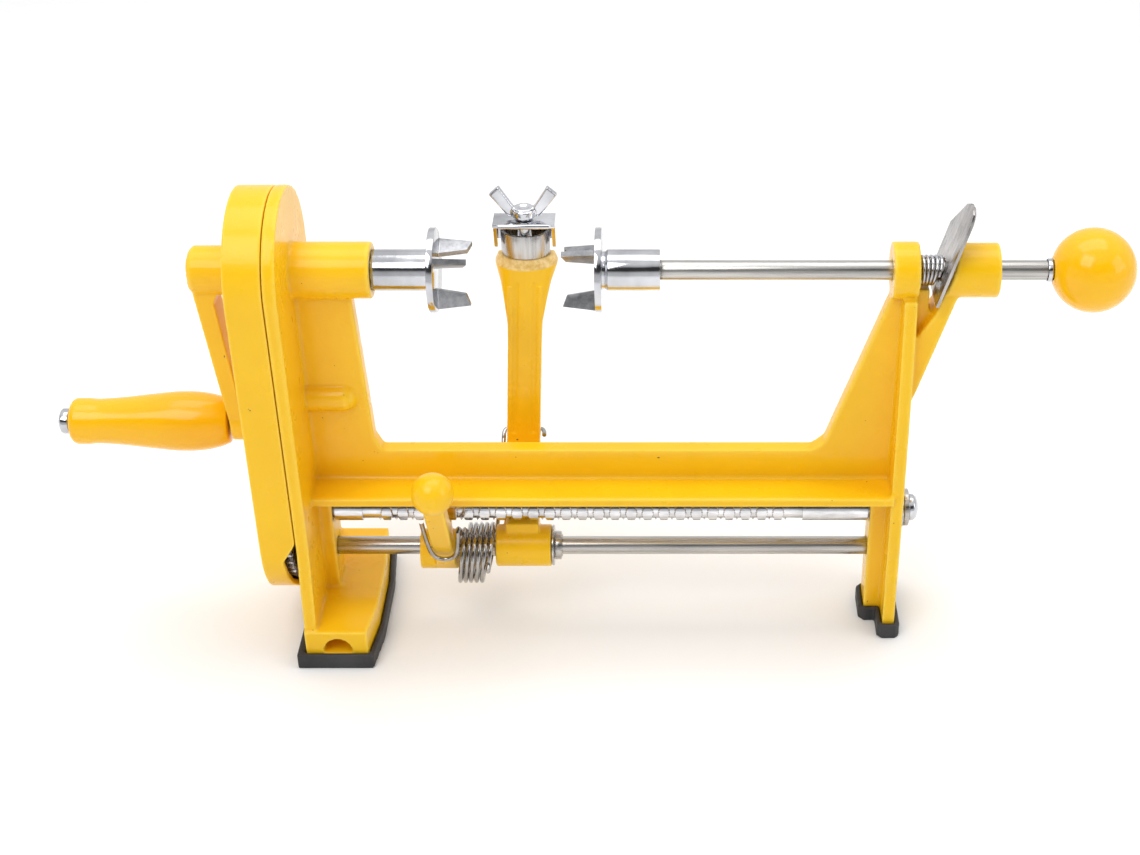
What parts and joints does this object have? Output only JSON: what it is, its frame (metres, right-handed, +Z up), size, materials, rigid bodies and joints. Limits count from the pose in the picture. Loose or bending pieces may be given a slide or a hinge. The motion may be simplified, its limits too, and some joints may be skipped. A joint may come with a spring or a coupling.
{
  "type": "apple peeler corer",
  "caption": "Hand-cranked fruit peeler: geared spindle with a pronged drive fork, spring-loaded peeling arm fed by a lead screw, and a sliding tail rod in a cast frame.",
  "frame": {"origin": "middle of the underside of the left foot pad, on the mid-plane of the frame's web", "axes": "+X from the crank towards the ball knob, along the spindle; +Y to the back; +Z up"},
  "size_m": [0.5029, 0.1013, 0.2335],
  "materials": {
    "yellow_paint": "gloss enamel over a cast surface",
    "orange_plastic": "polished moulded plastic",
    "chrome": "bright plated",
    "bright_steel": "ground bar, fine lines",
    "bronze": "sintered bush",
    "black_rubber": "matt moulded"
  },
  "bodies": {
    "frame": {"frame_casting": "yellow_paint", "gear_cover": "yellow_paint", "cover_screw_1": "chrome", "cover_screw_2": "chrome", "cover_screw_3": "chrome", "cover_screw_4": "chrome", "left_foot_pad": "black_rubber", "right_foot_pad": "black_rubber", "foot_screw_front": "bright_steel", "foot_screw_rear": "bright_steel", "idler_axle": "bright_steel", "idler_clip": "bright_steel", "spindle_bush": "bronze", "screw_bush_left": "bronze", "screw_bush_right": "bronze", "guide_rod": "bright_steel", "lock_spring": "chrome"},
    "crank": {"drive_gear": "bright_steel", "drive_spindle": "bright_steel", "drive_fork": "chrome", "fork_set_screw": "bright_steel", "crank_arm": "yellow_paint", "crank_washer": "chrome", "crank_screw": "chrome", "grip_bolt": "chrome"},
    "grip": {"grip": "orange_plastic"},
    "idler": {"idler_gear": "bright_steel"},
    "screw": {"screw_gear": "bright_steel", "lead_screw": "bright_steel", "screw_end_washer": "bright_steel", "screw_lock_washer": "bright_steel", "screw_end_screw": "chrome"},
    "carriage": {"carriage_sleeve": "bright_steel", "torsion_spring": "bright_steel", "arm_clip": "bright_steel", "sleeve_ring": "bright_steel"},
    "lever": {"follower_lever": "yellow_paint", "thread_follower": "bronze"},
    "arm": {"peeling_arm": "yellow_paint", "blade": "chrome", "clamp_cap": "chrome"},
    "wing": {"wing_bolt": "chrome"},
    "tail_rod": {"tail_rod": "bright_steel", "tail_fork_screw": "bright_steel", "tail_rod_clip": "bright_steel", "ball_knob": "orange_plastic", "knob_ferrule": "chrome"},
    "tail_fork": {"tail_fork": "chrome"},
    "lock_plate": {"locking_plate": "bright_steel"}
  },
  "joints": [
    {"name": "crank_turn", "type": "hinge", "parent": "frame", "child": "crank", "pos_m": [0, 0, 0.195], "axis": [1, 0, 0], "continuous": true},
    {"name": "grip_spin", "type": "hinge", "parent": "crank", "child": "grip", "pos_m": [-0.085, 0, 0.1135], "axis": [1, 0, 0], "continuous": true},
    {"name": "idler_turn", "type": "hinge", "parent": "frame", "child": "idler", "pos_m": [-0.022, 0, 0.129], "axis": [1, 0, 0], "continuous": true},
    {"name": "screw_turn", "type": "hinge", "parent": "frame", "child": "screw", "pos_m": [0, 0, 0.063], "axis": [1, 0, 0], "continuous": true},
    {"name": "carriage_slide", "type": "slide", "parent": "frame", "child": "carriage", "axis": [1, 0, 0], "range_m": [-0.038, 0.15]},
    {"name": "arm_swing", "type": "hinge", "parent": "carriage", "child": "arm", "pos_m": [0.09, 0, 0.0397], "axis": [-1, 0, 0], "range_deg": [0, 45], "stiffness_Nm_per_rad": 0.6, "springref_deg": -28.65, "deforming": ["torsion_spring"]},
    {"name": "lever_turn", "type": "hinge", "parent": "carriage", "child": "lever", "pos_m": [0.048, 0, 0.0397], "axis": [1, 0, 0], "range_deg": [0, 25], "stiffness_Nm_per_rad": 0.3, "springref_deg": -34.38, "deforming": ["torsion_spring"]},
    {"name": "wing_bolt_turn", "type": "hinge", "parent": "arm", "child": "wing", "pos_m": [0.094, 0.0426, 0.2], "axis": [0, 0, 1], "range_deg": [0, 540]},
    {"name": "tail_rod_slide", "type": "slide", "parent": "frame", "child": "tail_rod", "axis": [1, 0, 0], "range_m": [-0.022, 0.1]},
    {"name": "tail_fork_spin", "type": "hinge", "parent": "tail_rod", "child": "tail_fork", "pos_m": [0.145, 0, 0.195], "axis": [1, 0, 0], "continuous": true},
    {"name": "lock_plate_tilt", "type": "hinge", "parent": "frame", "child": "lock_plate", "pos_m": [0.2833, 0, 0.1837], "axis": [0, -1, 0], "range_deg": [0, 12], "stiffness_Nm_per_rad": 0.24, "springref_deg": -20.05, "deforming": ["lock_spring"]}
  ],
  "couplings": [
    {"joint": "idler_turn", "follows": "crank_turn", "ratio": -1},
    {"joint": "screw_turn", "follows": "crank_turn", "ratio": 1}
  ]
}
